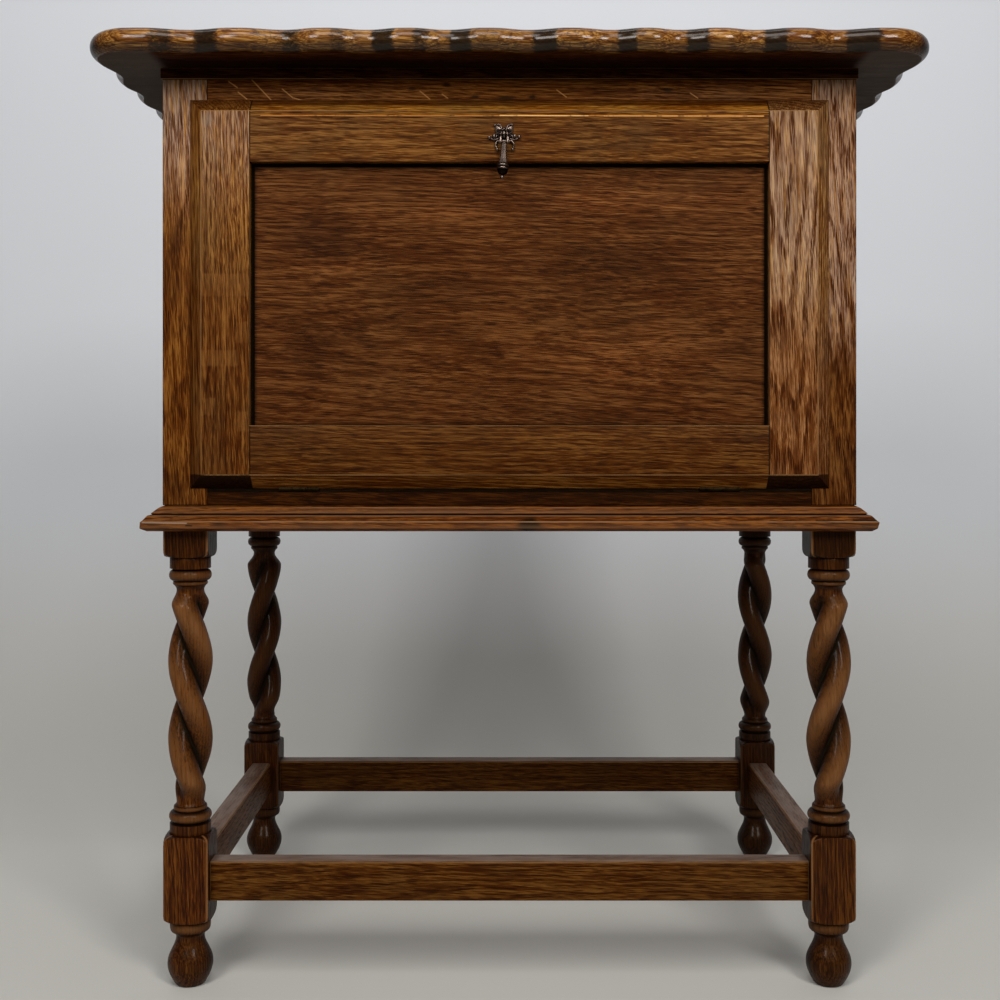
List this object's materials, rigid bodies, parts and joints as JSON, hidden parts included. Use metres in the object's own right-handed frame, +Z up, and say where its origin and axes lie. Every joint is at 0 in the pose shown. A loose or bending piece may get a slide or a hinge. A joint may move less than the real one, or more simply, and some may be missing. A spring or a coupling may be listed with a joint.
{
  "type": "side cabinet",
  "caption": "Oak side cabinet with scalloped overhanging top, panelled fall front with drop pull, moulded base and a stand of barley-twist legs and stretchers.",
  "frame": {"origin": "on the floor, under the middle of the cabinet's bounding box", "axes": "+Z up, -Y out of the fall front, +X to the right of a person facing the front"},
  "size_m": [0.784, 0.508, 0.901],
  "materials": {
    "oak": "aged, stained and waxed oak",
    "oak_top": "aged oak, polished at the edge",
    "oak_panel": "darker red-brown stained oak",
    "oak_turned": "stained and polished turned oak",
    "oak_dark": "dark stained oak",
    "plywood": "stained plywood",
    "softwood": "bare pine",
    "brass": "aged brass",
    "bronze": "dark antiqued brass",
    "steel": "plain steel"
  },
  "bodies": {
    "root": {"top_board": "oak_top", "under_top": "oak_dark", "top_screws": "steel", "face_stile_left": "oak", "face_stile_right": "oak", "face_rail_top": "oak", "face_rail_bottom": "oak", "side_stile_front_left": "oak", "side_stile_front_right": "oak", "side_stile_back_left": "oak", "side_stile_back_right": "oak", "side_rail_top_left": "oak", "side_rail_top_right": "oak", "side_rail_bottom_left": "oak", "side_rail_bottom_right": "oak", "side_panel_left": "oak_panel", "side_panel_right": "oak_panel", "back_panel": "plywood", "back_screws": "steel", "glue_blocks": "softwood", "base_board": "oak", "base_screws": "steel", "leg_front_left": "oak_turned", "leg_front_right": "oak_turned", "leg_back_left": "oak_turned", "leg_back_right": "oak_turned", "stretcher_front": "oak", "stretcher_back": "oak", "stretcher_left": "oak", "stretcher_right": "oak", "hinge_frame_leaf_left": "brass", "hinge_frame_leaf_right": "brass", "hinge_pins": "brass", "frame_leaf_screws": "brass", "keeper_left": "brass", "keeper_right": "brass", "keeper_screws": "brass", "strike_plate": "brass", "strike_screws": "brass"},
    "flap": {"flap_stile_left": "oak", "flap_stile_right": "oak", "flap_rail_top": "oak", "flap_rail_bottom": "oak", "flap_panel": "oak_panel", "hinge_flap_leaf_left": "brass", "hinge_flap_leaf_right": "brass", "flap_leaf_screws": "brass", "stay_left": "brass", "stay_right": "brass", "stay_screws": "brass", "catch_case": "brass", "catch_spring": "steel", "pull_plate": "bronze", "pull_post": "bronze", "pull_nut": "bronze", "pull_pin": "bronze"},
    "ball": {"catch_ball": "steel"},
    "drop": {"pull_drop": "bronze"}
  },
  "joints": [
    {"name": "flap_hinge", "type": "hinge", "parent": "root", "child": "flap", "pos_m": [0, -0.192, 0.4781], "axis": [1, 0, 0], "range_deg": [0, 90]},
    {"name": "ball_press", "type": "slide", "parent": "flap", "child": "ball", "axis": [0, 0, -1], "range_m": [0, 0.0015], "stiffness_N_per_m": 400, "springref_m": -0.0005, "deforming": ["catch_spring"]},
    {"name": "pull_swing", "type": "hinge", "parent": "flap", "child": "drop", "pos_m": [-0.005, -0.212, 0.804], "axis": [-1, 0, 0], "range_deg": [0, 85]}
  ]
}
